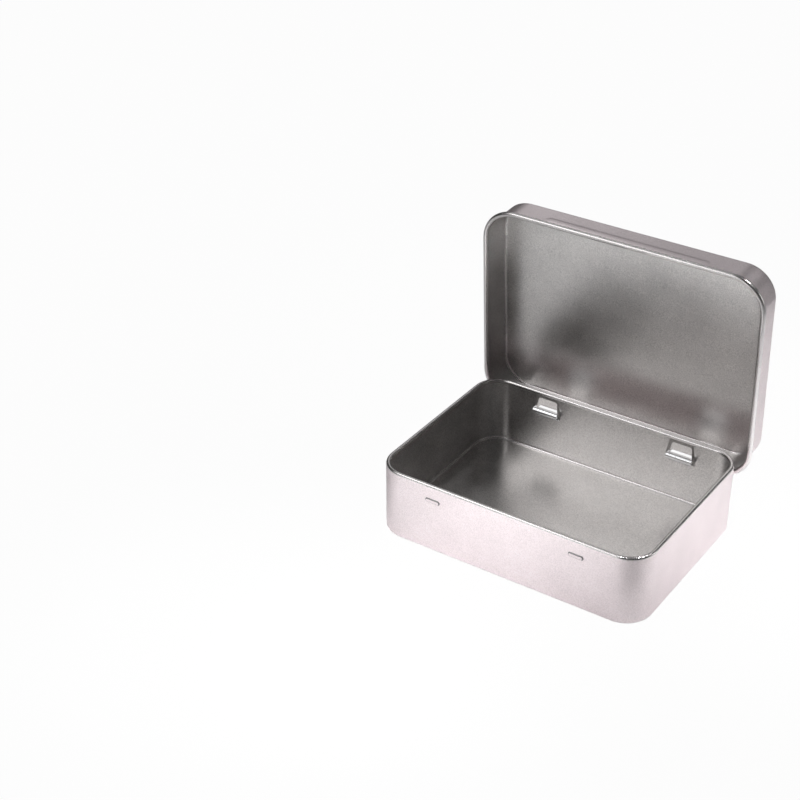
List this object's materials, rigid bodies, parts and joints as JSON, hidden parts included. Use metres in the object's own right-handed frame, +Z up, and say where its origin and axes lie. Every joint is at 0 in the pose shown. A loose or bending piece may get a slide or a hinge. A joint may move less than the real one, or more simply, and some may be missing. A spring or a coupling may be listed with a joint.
{
  "type": "hinged tin container",
  "caption": "Rectangular sheet-metal tin with rounded corners, curled rims and a hinged lid standing open, empty, for storing small foods.",
  "frame": {"origin": "centre of the body's flat underside", "axes": "+X along the long side to the right, -Y to the front with the latch bumps, +Y to the hinge side, +Z up"},
  "size_m": [0.1156, 0.0953, 0.1029],
  "materials": {
    "body": "satin tinplate",
    "lid": "satin tinplate"
  },
  "bodies": {
    "tin_body": {"body": "body"},
    "tin_lid": {"lid": "lid"}
  },
  "joints": [
    {"name": "lid_hinge", "type": "hinge", "parent": "tin_body", "child": "tin_lid", "pos_m": [0, 0.042, 0.0176], "axis": [1, 0, 0], "range_deg": [0, 86.7]}
  ]
}
